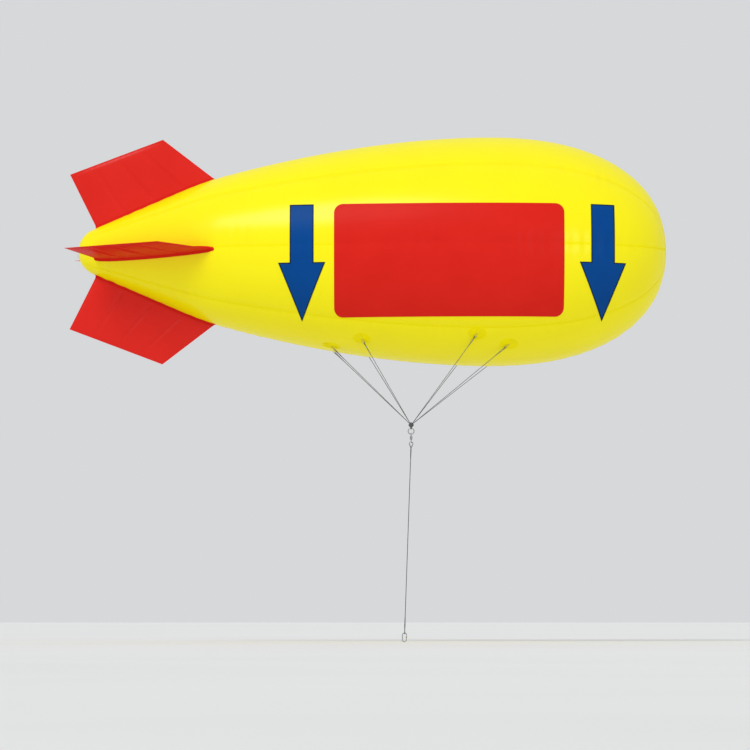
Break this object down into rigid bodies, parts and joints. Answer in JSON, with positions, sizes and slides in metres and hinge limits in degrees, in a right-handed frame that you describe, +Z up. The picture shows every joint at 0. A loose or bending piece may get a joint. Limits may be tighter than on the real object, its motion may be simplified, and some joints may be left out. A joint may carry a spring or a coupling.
{
  "type": "advertising blimp balloon",
  "caption": "Teardrop helium advertising blimp with tail fins, down-pointing arrows, blank side signs, bridle lines, swivel and tether with a hook at its foot.",
  "frame": {"origin": "centre of buoyancy, on the envelope's axis", "axes": "+X along the envelope's axis towards the nose, +Y to port, +Z up"},
  "size_m": [6.0974, 2.3468, 5.157],
  "materials": {
    "yellow_film": "glossy welded film",
    "red_film": "glossy welded film",
    "red_print": "printed film",
    "blue_print": "printed film",
    "patch_fabric": "coated fabric",
    "rope": "braided",
    "steel": "brushed",
    "valve_plastic": "moulded"
  },
  "bodies": {
    "root": {"envelope": "yellow_film", "nose_patch": "yellow_film", "filler_flange": "valve_plastic", "filler_cap": "valve_plastic", "fin_top": "red_film", "fin_starboard": "red_film", "fin_bottom": "red_film", "fin_port": "red_film", "sign_starboard": "red_print", "sign_port": "red_print", "arrow_aft_starboard": "blue_print", "arrow_fore_starboard": "blue_print", "arrow_aft_port": "blue_print", "arrow_fore_port": "blue_print", "load_patch_aft_outer_starboard": "patch_fabric", "load_patch_aft_inner_starboard": "patch_fabric", "load_patch_fore_inner_starboard": "patch_fabric", "load_patch_fore_outer_starboard": "patch_fabric", "load_patch_aft_outer_port": "patch_fabric", "load_patch_aft_inner_port": "patch_fabric", "load_patch_fore_inner_port": "patch_fabric", "load_patch_fore_outer_port": "patch_fabric", "bridle_aft_outer_starboard": "rope", "bridle_aft_inner_starboard": "rope", "bridle_fore_inner_starboard": "rope", "bridle_fore_outer_starboard": "rope", "bridle_aft_outer_port": "rope", "bridle_aft_inner_port": "rope", "bridle_fore_inner_port": "rope", "bridle_fore_outer_port": "rope", "bridle_knot": "rope", "confluence_ring": "steel", "swivel_barrel": "steel"},
    "swivel": {"swivel_eye": "steel"},
    "tether": {"tether_line": "rope", "tether_hook": "steel"}
  },
  "joints": [
    {"name": "swivel_turn", "type": "hinge", "parent": "root", "child": "swivel", "pos_m": [-0.12, 0, -1.925], "axis": [0, 0, 1], "continuous": true},
    {"name": "tether_lean", "type": "hinge", "parent": "swivel", "child": "tether", "pos_m": [-0.12, 0, -1.956], "axis": [0, 1, 0], "range_deg": [-45, 45]}
  ]
}
